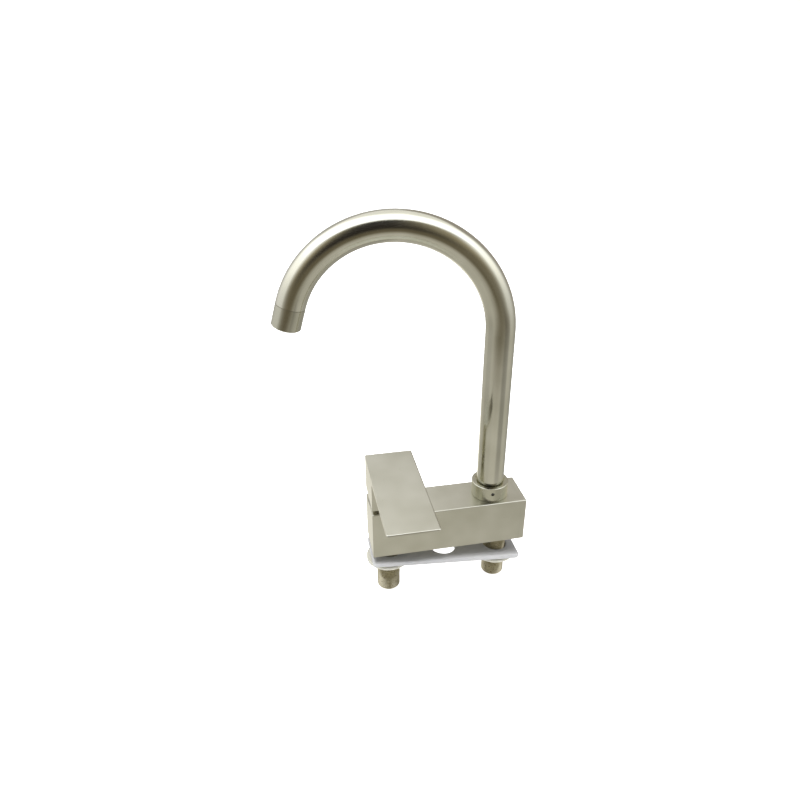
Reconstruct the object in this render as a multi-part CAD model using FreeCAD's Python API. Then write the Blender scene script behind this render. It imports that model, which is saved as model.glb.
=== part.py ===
import FreeCAD, Part
import math
import os

# Single-lever kitchen faucet for two supply holes, in millimetres.
# X runs along the body, -Y faces the user, +Z is up. The origin is midway between
# the two supply shanks, on the underside of the body.

# Body: a square bar closed by an end cap, with a low pedestal under the handle
SHANK_SPACING = 101.6
BODY_DEPTH = 38.0
BODY_HEIGHT = 42.5
BODY_END_WALL = 1.1
PEDESTAL_HEIGHT = 4.0
EDGE_RADIUS = 1.0
CAP_THICKNESS = 5.0
CAP_EDGE_RADIUS = 1.2
CAP_SPIGOT_LENGTH = 2.6
CAP_RIM = 4.0
CORING_LENGTH = 60.0
CORING_DEPTH = 26.0
CORING_HEIGHT = 5.0
CORING_RIB = 2.5

# Supply shanks, the loose base plate and the two plastic nuts that carry it
SHANK_DIAMETER = 21.0
SHANK_BORE = 13.0
SHANK_BOTTOM = 48.5
SHANK_ENGAGEMENT = 8.0
SUPPLY_THREAD_DIAMETER = 20.6
SUPPLY_THREAD_LENGTH = 14.0
SHANK_CHAMFER = 1.2
SEAL_SECTION = 1.8
PLATE_END_MARGIN = 17.7
PLATE_DEPTH = 40.0
PLATE_THICKNESS = 4.0
PLATE_SHIFT = 1.0
PLATE_DROP = 16.0
PLATE_TILT = 4.97
PLATE_CORNER_RADIUS = 3.0
PLATE_HOLE_PLAY = 1.0
PLATE_CENTRE_HOLE = 24.0
NUT_DIAMETER = 40.0
NUT_FLANGE_THICKNESS = 3.0
NUT_BOSS_ACROSS_FLATS = 27.0
NUT_BOSS_HEIGHT = 3.0

# Water ways cored in the body
COLD_WAY_RADIUS = 2.75
MIXED_WAY_RADIUS = 3.3
MIXED_WAY_RISE = 4.5
WAY_WALL = 0.5
POCKET_WALL = 1.9
CHAMBER_RADIUS = 5.0
CHAMBER_LENGTH = 5.5
PLUG_LENGTH = 6.0
PLUG_STEP = 0.6

# Cartridge: a stack of discs turned and slid by the stem
CARTRIDGE_DIAMETER = 25.0
CARTRIDGE_WALL = 1.5
CARTRIDGE_DEPTH = 18.5
CARTRIDGE_FLANGE_DIAMETER = 28.0
CARTRIDGE_FLANGE_THICKNESS = 3.0
CARTRIDGE_NECK_DIAMETER = 20.8
CARTRIDGE_NECK_BORE = 17.6
CARTRIDGE_NECK_RISE = 11.0
RETAINER_THREAD_DIAMETER = 30.0
RETAINER_HEIGHT = 6.4
RETAINER_SLOTS = 4
RETAINER_SLOT_WIDTH = 3.0
RETAINER_SLOT_DEPTH = 1.6
PORT_RADIUS = 1.6
PORT_SPREAD = 3.4
PORT_SETBACK = 4.6
OUTLET_SETBACK = 0.6
PORT_TUBE_RADIUS = 3.2
BASE_HEIGHT = 7.4
BASE_TOP_THICKNESS = 2.6
SEAL_WIDTH = 1.1
SEAL_HEIGHT = 1.2
FIXED_DISC_THICKNESS = 3.0
MOVING_DISC_DIAMETER = 14.0
MOVING_DISC_THICKNESS = 3.0
MIXING_WIDTH = 7.8
MIXING_FRONT = 2.6
MIXING_BACK = 5.0
MIXING_DEPTH = 1.5
CARRIER_THICKNESS = 3.0
CARRIER_FLOOR = 0.6
GUIDE_FLANGE_THICKNESS = 2.2
GUIDE_RISE = 1.4
PIVOT_DROP = 3.0
STEM_SIZE = 7.9
STEM_ENGAGEMENT = 11.5
STEM_SHOULDER_DROP = 5.0
STEM_BALL_DIAMETER = 4.4
STEM_FINGER_DIAMETER = 3.4
PIN_DIAMETER = 2.5
PIN_LENGTH = 15.4

# Handle: a square block under a long flat lever
HANDLE_WIDTH = 41.5
HANDLE_GAP = 4.0
HANDLE_BACK_HEIGHT = 33.7
LEVER_REACH = 72.0
LEVER_FALL = 1.8
LEVER_ROOT_THICKNESS = 6.2
LEVER_TIP_THICKNESS = 2.4
LEVER_ROOT_FILLET = 2.0
LEVER_CORNER_RADIUS = 2.0
LEVER_LIFT = 20.0
HANDLE_TURN = 45.0
HANDLE_CAVITY_RADIUS = 16.0
HANDLE_CAVITY_DEPTH = 9.0
HANDLE_SCREW_DIAMETER = 5.0
HANDLE_SCREW_LENGTH = 9.0
HANDLE_SCREW_RISE = 6.0
RELIEF_CLEARANCE = 0.6

# Spout: a bent tube that swivels in a collar on the body
SPOUT_END_MARGIN = 24.2
TUBE_DIAMETER = 24.0
TUBE_WALL = 1.2
ARCH_RADIUS = 84.0
ARCH_CENTRE_HEIGHT = 198.0
ARCH_SWEEP = 163.6
SPOUT_HEADING = 170.3
COLLAR_DIAMETER = 32.5
COLLAR_HEIGHT = 14.0
COLLAR_CHAMFER = 0.4
COLLAR_SPIGOT_DIAMETER = 26.0
COLLAR_SPIGOT_LENGTH = 7.2
COLLAR_RECESS_DIAMETER = 26.8
COLLAR_RECESS_DEPTH = 1.8
COLLAR_SCREW_DIAMETER = 3.0
COLLAR_SCREW_RISE = 8.5
COLLAR_SCREW_HEADING = -98.0
COLLAR_SCREW_RECESS = 1.2
NIPPLE_DIAMETER = 20.0
NIPPLE_BORE = 15.0
NIPPLE_SPIGOT_LENGTH = 10.0
NIPPLE_GROOVE_DEPTH = 1.4
NIPPLE_LAND = 1.2
NIPPLE_CHAMFER = 1.0
SOCKET_WATER_SPACE = 9.0
WASHER_THICKNESS = 0.8
SPOUT_RING_COUNT = 2
SPOUT_RING_START = 2.7
SPOUT_RING_PITCH = 3.8

# Aerator at the end of the spout
AERATOR_LENGTH = 18.5
AERATOR_SEAM_CHAMFER = 0.15
AERATOR_BORE = 18.0
AERATOR_SHOULDER_BORE = 14.0
AERATOR_SHOULDER_THICKNESS = 3.0
AERATOR_SPIGOT_LENGTH = 4.0
AERATOR_SPIGOT_CLEARANCE = 0.5
AERATOR_GASKET_THICKNESS = 1.5
AERATOR_SCREEN_THICKNESS = 0.6
AERATOR_MESH_DIAMETER = 0.9
AERATOR_MESH_PITCH = 1.3
AERATOR_INSERT_LENGTH = 7.0
AERATOR_INSERT_FLOOR = 3.5
AERATOR_INSERT_WALL = 1.2
AERATOR_HOLE_DIAMETER = 1.8
AERATOR_HOLE_PITCH = 2.6

# Clearances
RUNNING = 0.05
FIT = 0.1
SLIDE = 0.15
FACE = 0.05

# Body and shanks
SHANK_X = SHANK_SPACING / 2
SHANK_HOLE_RADIUS = SHANK_DIAMETER / 2 + FIT
SEAL_SEAT_RADIUS = SHANK_DIAMETER / 2 + SEAL_SECTION + FIT
BODY_END = SHANK_X + SEAL_SEAT_RADIUS + BODY_END_WALL + CAP_SPIGOT_LENGTH + FIT
CAP_RECESS_FLOOR = BODY_END - CAP_SPIGOT_LENGTH - FIT
PLUG_SEAT = CAP_RECESS_FLOOR - PLUG_LENGTH
HANDLE_X = -BODY_END + HANDLE_WIDTH / 2
SPOUT_X = BODY_END - SPOUT_END_MARGIN
PEDESTAL_TOP = BODY_HEIGHT + PEDESTAL_HEIGHT
PLATE_HALF_LENGTH = SHANK_X + PLATE_END_MARGIN

# Water ways and cartridge, stacked from the shanks up
COLD_WAY_HEIGHT = SHANK_ENGAGEMENT + WAY_WALL + PLUG_STEP + COLD_WAY_RADIUS
POCKET_FLOOR = COLD_WAY_HEIGHT + COLD_WAY_RADIUS + POCKET_WALL
MIXED_WAY_HEIGHT = POCKET_FLOOR + MIXED_WAY_RISE
LEDGE_HEIGHT = POCKET_FLOOR + CARTRIDGE_DEPTH
FLANGE_BOTTOM = LEDGE_HEIGHT + FACE
FLANGE_TOP = FLANGE_BOTTOM + CARTRIDGE_FLANGE_THICKNESS
NECK_TOP = LEDGE_HEIGHT + CARTRIDGE_NECK_RISE
GUIDE_TOP = NECK_TOP + GUIDE_RISE
PIVOT_HEIGHT = NECK_TOP - PIVOT_DROP
CARTRIDGE_BORE_RADIUS = CARTRIDGE_DIAMETER / 2 - CARTRIDGE_WALL
DISC_RADIUS = CARTRIDGE_BORE_RADIUS - SLIDE
BASE_BOTTOM = POCKET_FLOOR + FACE
BASE_TOP = BASE_BOTTOM + BASE_HEIGHT
FIXED_DISC_BOTTOM = BASE_TOP + FACE
FIXED_DISC_TOP = FIXED_DISC_BOTTOM + FIXED_DISC_THICKNESS
MOVING_DISC_BOTTOM = FIXED_DISC_TOP + FACE
MOVING_DISC_TOP = MOVING_DISC_BOTTOM + MOVING_DISC_THICKNESS
CARRIER_BOTTOM = MOVING_DISC_TOP + FACE
CARRIER_TOP = CARRIER_BOTTOM + CARRIER_THICKNESS
GUIDE_BOTTOM = CARRIER_TOP + FACE
GUIDE_SHOULDER = GUIDE_BOTTOM + GUIDE_FLANGE_THICKNESS
BALL_HEIGHT = CARRIER_BOTTOM + CARRIER_FLOOR + FIT + STEM_BALL_DIAMETER / 2
HOT_PORT = (-PORT_SPREAD, -PORT_SETBACK)
COLD_PORT = (PORT_SPREAD, -PORT_SETBACK)
OUTLET_PORT = (0.0, OUTLET_SETBACK)

# Handle
HANDLE_BOTTOM = PEDESTAL_TOP + HANDLE_GAP
HANDLE_TOP = HANDLE_BOTTOM + HANDLE_BACK_HEIGHT
CAVITY_TOP = HANDLE_BOTTOM + HANDLE_CAVITY_DEPTH
STEM_TOP = CAVITY_TOP + STEM_ENGAGEMENT
HANDLE_SCREW_HEIGHT = CAVITY_TOP + HANDLE_SCREW_RISE

# Spout
TUBE_RADIUS = TUBE_DIAMETER / 2
TUBE_BORE_RADIUS = TUBE_RADIUS - TUBE_WALL
NIPPLE_BOTTOM = POCKET_FLOOR + SOCKET_WATER_SPACE
NIPPLE_SHOULDER = BODY_HEIGHT + WASHER_THICKNESS + FACE
GROOVE_RADIUS = TUBE_RADIUS - NIPPLE_GROOVE_DEPTH
GROOVE_HALF_WIDTH = COLLAR_SCREW_DIAMETER / 2 + SLIDE
COLLAR_SCREW_HEIGHT = BODY_HEIGHT + COLLAR_SCREW_RISE
TUBE_FOOT = COLLAR_SCREW_HEIGHT + GROOVE_HALF_WIDTH + NIPPLE_LAND
RING_HEIGHTS = [NIPPLE_BOTTOM + SPOUT_RING_START + SPOUT_RING_PITCH * k for k in range(SPOUT_RING_COUNT)]
LARGE = 400.0

UP = FreeCAD.Vector(0, 0, 1)
ALONG = FreeCAD.Vector(1, 0, 0)
BACK = FreeCAD.Vector(0, 1, 0)


# Plain shapes
def point(x, y, z):
    return FreeCAD.Vector(x, y, z)


def block(x0, x1, y0, y1, z0, z1):
    return Part.makeBox(x1 - x0, y1 - y0, z1 - z0, point(x0, y0, z0))


def rod(radius, z0, z1, x=0.0, y=0.0):
    return Part.makeCylinder(radius, z1 - z0, point(x, y, z0), UP)


def lying_rod(radius, x0, x1, y, z):
    return Part.makeCylinder(radius, x1 - x0, point(x0, y, z), ALONG)


def ring(inner, outer, z0, z1, x=0.0, y=0.0):
    return rod(outer, z0, z1, x, y).cut(rod(inner, z0, z1, x, y))


def turned(outline, x=0.0, y=0.0):
    """Revolve an outline of (radius, height) points about a vertical axis."""
    corners = [point(radius, 0, height) for radius, height in outline]
    face = Part.Face(Part.makePolygon(corners + corners[:1]))
    solid = face.revolve(point(0, 0, 0), UP, 360)
    solid.translate(point(x, y, 0))
    return solid


def drawn_sideways(outline, x0, x1):
    """Draw an outline of (y, z) points along X."""
    corners = [point(x0, y, z) for y, z in outline]
    return Part.Face(Part.makePolygon(corners + corners[:1])).extrude(point(x1 - x0, 0, 0))


def hexagon(across_flats, z0, z1, x=0.0, y=0.0):
    radius = across_flats / math.sqrt(3)
    corners = []
    for k in range(7):
        angle = math.radians(60 * k)
        corners.append(point(x + radius * math.cos(angle), y + radius * math.sin(angle), z0))
    return Part.Face(Part.makePolygon(corners)).extrude(point(0, 0, z1 - z0))


def rounded(shape, radius, chosen):
    edges = [edge for edge in shape.Edges if chosen(edge.BoundBox)]
    return shape.makeFillet(radius, edges)


def joined(shapes):
    return shapes[0].multiFuse(shapes[1:]).removeSplitter()


def cut_away(shape, tools):
    return shape.cut(Part.Compound(tools))


def near(a, b):
    return abs(a - b) < 0.001


def grub_screw(diameter, length):
    """A hexagon-socket set screw from its cupped tip at the origin to its head up +Z."""
    radius = diameter / 2
    tip = radius * 0.35
    body = turned([(0, 0), (radius - tip, 0), (radius, tip), (radius, length), (0, length)])
    return body.cut(hexagon(diameter * 0.5, length * 0.45, length))


def laid_out(shape, start, heading):
    """Lay a shape drawn up +Z down along a horizontal heading, from a start point."""
    shape.rotate(point(0, 0, 0), BACK, 90)
    shape.rotate(point(0, 0, 0), UP, heading)
    shape.translate(start)
    return shape


def hole_grid(hole_diameter, pitch, reach, z0, z1):
    """Round holes on a hexagonal grid inside a circle."""
    rows = int(reach / (pitch * math.sqrt(3) / 2))
    columns = int(reach / pitch) + 1
    holes = []
    for row in range(-rows, rows + 1):
        for column in range(-columns, columns + 1):
            x = (column + 0.5 * (row % 2)) * pitch
            y = row * pitch * math.sqrt(3) / 2
            if math.hypot(x, y) + hole_diameter / 2 <= reach:
                holes.append(rod(hole_diameter / 2, z0, z1, x, y))
    return holes


# Body casting
def relief(turn):
    """The space that the tail of the handle block sweeps when it is lifted at this turn."""
    lift = math.radians(LEVER_LIFT)
    arm = HANDLE_BOTTOM - PIVOT_HEIGHT
    rise = PIVOT_HEIGHT + arm * math.cos(lift) - PEDESTAL_TOP - RELIEF_CLEARANCE
    start = rise / math.tan(lift) + arm * math.sin(lift)
    wedge = block(-LARGE, LARGE, 0, LARGE, 0, LARGE)
    wedge.rotate(point(0, 0, 0), ALONG, -LEVER_LIFT)
    wedge.translate(point(0, start, PEDESTAL_TOP))
    wedge.rotate(point(0, 0, 0), UP, turn)
    wedge.translate(point(HANDLE_X, 0, 0))
    return wedge.common(block(-LARGE, LARGE, -LARGE, LARGE, BODY_HEIGHT, LARGE))


def body_outside():
    step = HANDLE_X + HANDLE_WIDTH / 2
    outline = [(-BODY_END, 0), (BODY_END, 0), (BODY_END, BODY_HEIGHT), (step, BODY_HEIGHT)]
    outline += [(step, PEDESTAL_TOP), (-BODY_END, PEDESTAL_TOP)]
    corners = [point(x, -BODY_DEPTH / 2, z) for x, z in outline]
    bar = Part.Face(Part.makePolygon(corners + corners[:1])).extrude(point(0, BODY_DEPTH, 0))

    def outer(box):
        at_cap = near(box.XMin, BODY_END)
        inner_corner = near(box.XMin, step) and near(box.XMax, step) and near(box.ZMin, BODY_HEIGHT)
        return not at_cap and not inner_corner

    bar = rounded(bar, EDGE_RADIUS, outer)
    turns = [HANDLE_TURN * share for share in (-1, -0.5, 0, 0.5, 1)]
    return cut_away(bar, [relief(turn) for turn in turns])


def water_ways():
    """The cored channels: two supply chambers, a cold way, a mixed way and the ports."""
    hot_x = HANDLE_X + HOT_PORT[0]
    cold_x = HANDLE_X + COLD_PORT[0]
    ways = []
    for x in (-SHANK_X, SHANK_X):
        ways.append(rod(CHAMBER_RADIUS, SHANK_ENGAGEMENT - 1, SHANK_ENGAGEMENT + CHAMBER_LENGTH, x))
    for x in (hot_x, cold_x):
        ways.append(rod(PORT_RADIUS, COLD_WAY_HEIGHT, POCKET_FLOOR + 1, x, -PORT_SETBACK))
    ways.append(lying_rod(COLD_WAY_RADIUS, cold_x - PORT_RADIUS, BODY_END, -PORT_SETBACK, COLD_WAY_HEIGHT))
    ways.append(lying_rod(MIXED_WAY_RADIUS, HANDLE_X, BODY_END, 0, MIXED_WAY_HEIGHT))
    for radius, y, z in plug_places():
        ways.append(lying_rod(radius + PLUG_STEP, PLUG_SEAT, BODY_END, y, z))
    return ways


def plug_places():
    cold = (COLD_WAY_RADIUS, -PORT_SETBACK, COLD_WAY_HEIGHT)
    mixed = (MIXED_WAY_RADIUS, 0.0, MIXED_WAY_HEIGHT)
    return (cold, mixed)


def faucet_body():
    tools = water_ways()
    for x in (-SHANK_X, SHANK_X):
        tools.append(rod(SHANK_HOLE_RADIUS, -1, SHANK_ENGAGEMENT, x))
        tools.append(rod(SEAL_SEAT_RADIUS, -1, SEAL_SECTION, x))
    tools.append(rod(CARTRIDGE_DIAMETER / 2 + FIT, POCKET_FLOOR, LARGE, HANDLE_X))
    tools.append(rod(RETAINER_THREAD_DIAMETER / 2 + FIT, LEDGE_HEIGHT, LARGE, HANDLE_X))
    tools.append(rod(NIPPLE_DIAMETER / 2 + RUNNING, POCKET_FLOOR, LARGE, SPOUT_X))
    spigot_floor = BODY_HEIGHT - COLLAR_SPIGOT_LENGTH - FIT
    tools.append(rod(COLLAR_SPIGOT_DIAMETER / 2 + FIT, spigot_floor, LARGE, SPOUT_X))
    tools.append(cap_recess())
    half = CORING_LENGTH / 2
    deep = CORING_DEPTH / 2
    for side in (-1, 1):
        near_x, far_x = sorted((side * CORING_RIB / 2, side * half))
        tools.append(block(near_x, far_x, -deep, deep, -1, CORING_HEIGHT))
    return cut_away(body_outside(), tools)


def cap_outline(inset, x0, x1):
    half = BODY_DEPTH / 2 - inset
    return block(x0, x1, -half, half, inset, BODY_HEIGHT - inset)


def cap_recess():
    return cap_outline(CAP_RIM, CAP_RECESS_FLOOR, BODY_END + 1)


def end_cap():
    face = BODY_END + CAP_THICKNESS
    plate = cap_outline(0, BODY_END + FACE, face)
    plate = rounded(plate, CAP_EDGE_RADIUS, lambda box: near(box.XMin, face) or box.XLength > 1)
    spigot = cap_outline(CAP_RIM + FIT, BODY_END - CAP_SPIGOT_LENGTH, BODY_END + 1)
    hollow = cap_outline(CAP_RIM * 2, BODY_END - CAP_SPIGOT_LENGTH - 1, BODY_END + 1)
    return joined([plate, spigot]).cut(hollow)


def gallery_plugs():
    start = PLUG_SEAT + FACE
    end = CAP_RECESS_FLOOR - FACE
    plugs = []
    for radius, y, z in plug_places():
        plug = lying_rod(radius + PLUG_STEP - FIT, start, end, y, z)
        socket = hexagon(radius, 0, PLUG_LENGTH / 2)
        plugs.append(plug.cut(laid_out(socket, point(end - PLUG_LENGTH / 2, y, z), 0)))
    return Part.Compound(plugs)


# Supply shanks, seals, base plate and nuts
def shank(x):
    crest = SHANK_DIAMETER / 2
    supply = SUPPLY_THREAD_DIAMETER / 2
    bore = SHANK_BORE / 2
    step = -SHANK_BOTTOM + SUPPLY_THREAD_LENGTH
    outline = [(bore, SHANK_ENGAGEMENT - FACE), (crest - SHANK_CHAMFER, SHANK_ENGAGEMENT - FACE)]
    outline += [(crest, SHANK_ENGAGEMENT - FACE - SHANK_CHAMFER), (crest, step), (supply, step)]
    outline += [(supply, -SHANK_BOTTOM + SHANK_CHAMFER), (supply - SHANK_CHAMFER, -SHANK_BOTTOM)]
    outline += [(bore + SHANK_CHAMFER, -SHANK_BOTTOM), (bore, -SHANK_BOTTOM + SHANK_CHAMFER)]
    return turned(outline, x)


def shank_seals():
    inner = SHANK_DIAMETER / 2 + FACE
    outer = SEAL_SEAT_RADIUS - FIT
    rings = [ring(inner, outer, FACE, SEAL_SECTION - FACE, x) for x in (-SHANK_X, SHANK_X)]
    return Part.Compound(rings)


def plate_underside(x):
    """Height of the tilted plate's underside at a place along the body."""
    return -PLATE_DROP - x * math.tan(math.radians(PLATE_TILT))


def base_plate():
    deep = PLATE_DEPTH / 2
    left = PLATE_SHIFT - PLATE_HALF_LENGTH
    plate = block(left, PLATE_SHIFT + PLATE_HALF_LENGTH, -deep, deep, 0, PLATE_THICKNESS)
    plate = rounded(plate, PLATE_CORNER_RADIUS, lambda box: near(box.ZLength, PLATE_THICKNESS))
    plate = rounded(plate, EDGE_RADIUS, lambda box: near(box.ZMin, PLATE_THICKNESS))
    radius = SHANK_DIAMETER / 2 + PLATE_HOLE_PLAY
    holes = [rod(radius, -1, PLATE_THICKNESS + 1, x) for x in (-SHANK_X, SHANK_X)]
    holes.append(rod(PLATE_CENTRE_HOLE / 2, -1, PLATE_THICKNESS + 1))
    plate = cut_away(plate, holes)
    plate.rotate(point(0, 0, 0), BACK, PLATE_TILT)
    plate.translate(point(0, 0, -PLATE_DROP))
    return plate


def nut_top(x):
    """A nut is run up until the low side of its flange meets the tilted plate."""
    lowest = min(x + NUT_DIAMETER / 2, PLATE_SHIFT + PLATE_HALF_LENGTH)
    return plate_underside(lowest) - FACE


def mounting_nut(x):
    top = nut_top(x)
    flange = rod(NUT_DIAMETER / 2, top - NUT_FLANGE_THICKNESS, top, x)
    flange = rounded(flange, EDGE_RADIUS, lambda box: near(box.ZLength, 0))
    bottom = top - NUT_FLANGE_THICKNESS - NUT_BOSS_HEIGHT
    boss = hexagon(NUT_BOSS_ACROSS_FLATS, bottom, top - NUT_FLANGE_THICKNESS / 2, x)
    return joined([flange, boss]).cut(rod(SHANK_HOLE_RADIUS, bottom - 1, top + 1, x))


# Cartridge
def port_holes(radius, z0, z1, ports):
    return [rod(radius, z0, z1, HANDLE_X + x, y) for x, y in ports]


def cartridge_base():
    inlets = (HOT_PORT, COLD_PORT)
    top = rod(DISC_RADIUS, BASE_TOP - BASE_TOP_THICKNESS, BASE_TOP, HANDLE_X)
    tubes = port_holes(PORT_TUBE_RADIUS, BASE_BOTTOM, BASE_TOP - 1, inlets)
    foot = ring(DISC_RADIUS - 2, DISC_RADIUS, BASE_BOTTOM, BASE_TOP - 1, HANDLE_X)
    window = block(HANDLE_X - LARGE, HANDLE_X + LARGE, -DISC_RADIUS / 2, LARGE, BASE_BOTTOM - 1,
                   BASE_TOP - BASE_TOP_THICKNESS)
    base = joined([top, foot.cut(window)] + tubes)
    ports = port_holes(PORT_RADIUS, BASE_BOTTOM - 1, BASE_TOP + 1, inlets + (OUTLET_PORT,))
    seat = PORT_RADIUS + SEAL_WIDTH + FACE
    lower = port_holes(seat, BASE_BOTTOM - 1, BASE_BOTTOM + SEAL_HEIGHT, inlets)
    upper = port_holes(seat, BASE_TOP - SEAL_HEIGHT, BASE_TOP + 1, inlets + (OUTLET_PORT,))
    return cut_away(base, ports + lower + upper)


def seals_at(ports, z0):
    z1 = z0 + SEAL_HEIGHT - FACE
    outer = PORT_RADIUS + SEAL_WIDTH
    return Part.Compound([ring(PORT_RADIUS, outer, z0, z1, HANDLE_X + x, y) for x, y in ports])


def port_seals():
    return seals_at((HOT_PORT, COLD_PORT), BASE_BOTTOM)


def disc_seals():
    return seals_at((HOT_PORT, COLD_PORT, OUTLET_PORT), BASE_TOP - SEAL_HEIGHT + FACE)


def fixed_disc():
    disc = rod(DISC_RADIUS, FIXED_DISC_BOTTOM, FIXED_DISC_TOP, HANDLE_X)
    ports = (HOT_PORT, COLD_PORT, OUTLET_PORT)
    return cut_away(disc, port_holes(PORT_RADIUS, FIXED_DISC_BOTTOM - 1, FIXED_DISC_TOP + 1, ports))


def moving_disc():
    disc = rod(MOVING_DISC_DIAMETER / 2, MOVING_DISC_BOTTOM, MOVING_DISC_TOP, HANDLE_X)
    half = MIXING_WIDTH / 2
    pocket = block(HANDLE_X - half, HANDLE_X + half, -MIXING_FRONT, MIXING_BACK,
                   MOVING_DISC_BOTTOM - 1, MOVING_DISC_BOTTOM + MIXING_DEPTH)
    return disc.cut(pocket)


def disc_carrier():
    plate = rod(MOVING_DISC_DIAMETER / 2, CARRIER_BOTTOM, CARRIER_TOP, HANDLE_X)
    socket = rod(STEM_BALL_DIAMETER / 2 + SLIDE, CARRIER_BOTTOM + CARRIER_FLOOR, CARRIER_TOP + 1, HANDLE_X)
    return plate.cut(socket)


def cartridge_housing():
    inside = CARTRIDGE_BORE_RADIUS
    roof = GUIDE_SHOULDER + FACE
    outside = CARTRIDGE_DIAMETER / 2
    neck = CARTRIDGE_NECK_DIAMETER / 2
    neck_bore = CARTRIDGE_NECK_BORE / 2
    flange = CARTRIDGE_FLANGE_DIAMETER / 2
    outline = [(inside, BASE_BOTTOM), (outside, BASE_BOTTOM), (outside, FLANGE_BOTTOM)]
    outline += [(flange, FLANGE_BOTTOM), (flange, FLANGE_TOP), (neck, FLANGE_TOP)]
    outline += [(neck, NECK_TOP), (neck_bore, NECK_TOP), (neck_bore, roof), (inside, roof)]
    housing = turned(outline, HANDLE_X)
    outlet_top = BASE_TOP - BASE_TOP_THICKNESS
    window = block(HANDLE_X, HANDLE_X + LARGE, -MIXED_WAY_RADIUS, MIXED_WAY_RADIUS,
                   BASE_BOTTOM - 1, outlet_top)
    return housing.cut(window)


def cartridge_nut():
    bottom = FLANGE_TOP + FACE
    top = bottom + RETAINER_HEIGHT
    nut = ring(CARTRIDGE_NECK_DIAMETER / 2 + FIT, RETAINER_THREAD_DIAMETER / 2, bottom, top, HANDLE_X)
    half = RETAINER_SLOT_WIDTH / 2
    slots = []
    for k in range(RETAINER_SLOTS):
        slot = block(0, RETAINER_THREAD_DIAMETER, -half, half, top - RETAINER_SLOT_DEPTH, top + 1)
        slot.rotate(point(0, 0, 0), UP, 45 + 360 * k / RETAINER_SLOTS)
        slot.translate(point(HANDLE_X, 0, 0))
        slots.append(slot)
    return cut_away(nut, slots)


def stem_swing():
    """Half the length of the slot that the stem needs to swing in."""
    lift = math.radians(LEVER_LIFT)
    mouth = STEM_SIZE / 2 / math.cos(lift) + (GUIDE_TOP - PIVOT_HEIGHT) * math.tan(lift)
    shoulder = STEM_SIZE / 2 * math.cos(lift) + STEM_SHOULDER_DROP * math.sin(lift)
    ball = (PIVOT_HEIGHT - BALL_HEIGHT) * math.sin(lift) + STEM_BALL_DIAMETER / 2
    return max(mouth, shoulder, ball) + SLIDE


def stem_guide():
    flange = rod(DISC_RADIUS, GUIDE_BOTTOM, GUIDE_SHOULDER, HANDLE_X)
    neck = rod(CARTRIDGE_NECK_BORE / 2 - RUNNING, GUIDE_BOTTOM, GUIDE_TOP, HANDLE_X)
    half = STEM_SIZE / 2 + SLIDE
    swing = stem_swing()
    slot = block(HANDLE_X - half, HANDLE_X + half, -swing, swing, GUIDE_BOTTOM - 1, GUIDE_TOP + 1)
    reach = PIN_LENGTH / 2 + FIT
    pin_hole = lying_rod(PIN_DIAMETER / 2 + RUNNING, HANDLE_X - reach, HANDLE_X + reach, 0, PIVOT_HEIGHT)
    return cut_away(joined([flange, neck]), [slot, pin_hole])


def stem_pin():
    reach = PIN_LENGTH / 2
    return lying_rod(PIN_DIAMETER / 2, HANDLE_X - reach, HANDLE_X + reach, 0, PIVOT_HEIGHT)


def cartridge_stem():
    half = STEM_SIZE / 2
    shoulder = PIVOT_HEIGHT - STEM_SHOULDER_DROP
    square = block(HANDLE_X - half, HANDLE_X + half, -half, half, shoulder, STEM_TOP)
    square = square.makeChamfer(EDGE_RADIUS, [e for e in square.Edges if near(e.BoundBox.ZMin, STEM_TOP)])
    finger = rod(STEM_FINGER_DIAMETER / 2, BALL_HEIGHT, shoulder + 1, HANDLE_X)
    ball = Part.makeSphere(STEM_BALL_DIAMETER / 2, point(HANDLE_X, 0, BALL_HEIGHT))
    radius = PIN_DIAMETER / 2 + RUNNING
    pin_hole = lying_rod(radius, HANDLE_X - STEM_SIZE, HANDLE_X + STEM_SIZE, 0, PIVOT_HEIGHT)
    return joined([square, finger, ball]).cut(pin_hole)


# Handle
def lever_outline():
    """The side view of the handle as (y, z) points: the block, and the lever that tapers to its tip."""
    back = BODY_DEPTH / 2
    front = -BODY_DEPTH / 2
    tip = front - LEVER_REACH
    tip_top = HANDLE_TOP - LEVER_FALL
    root_top = HANDLE_TOP - LEVER_FALL * BODY_DEPTH / (BODY_DEPTH + LEVER_REACH)
    root_under = root_top - LEVER_ROOT_THICKNESS
    outline = [(back, HANDLE_BOTTOM), (back, HANDLE_TOP), (tip, tip_top)]
    outline += [(tip, tip_top - LEVER_TIP_THICKNESS), (front, root_under), (front, HANDLE_BOTTOM)]
    return outline, root_under


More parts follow.
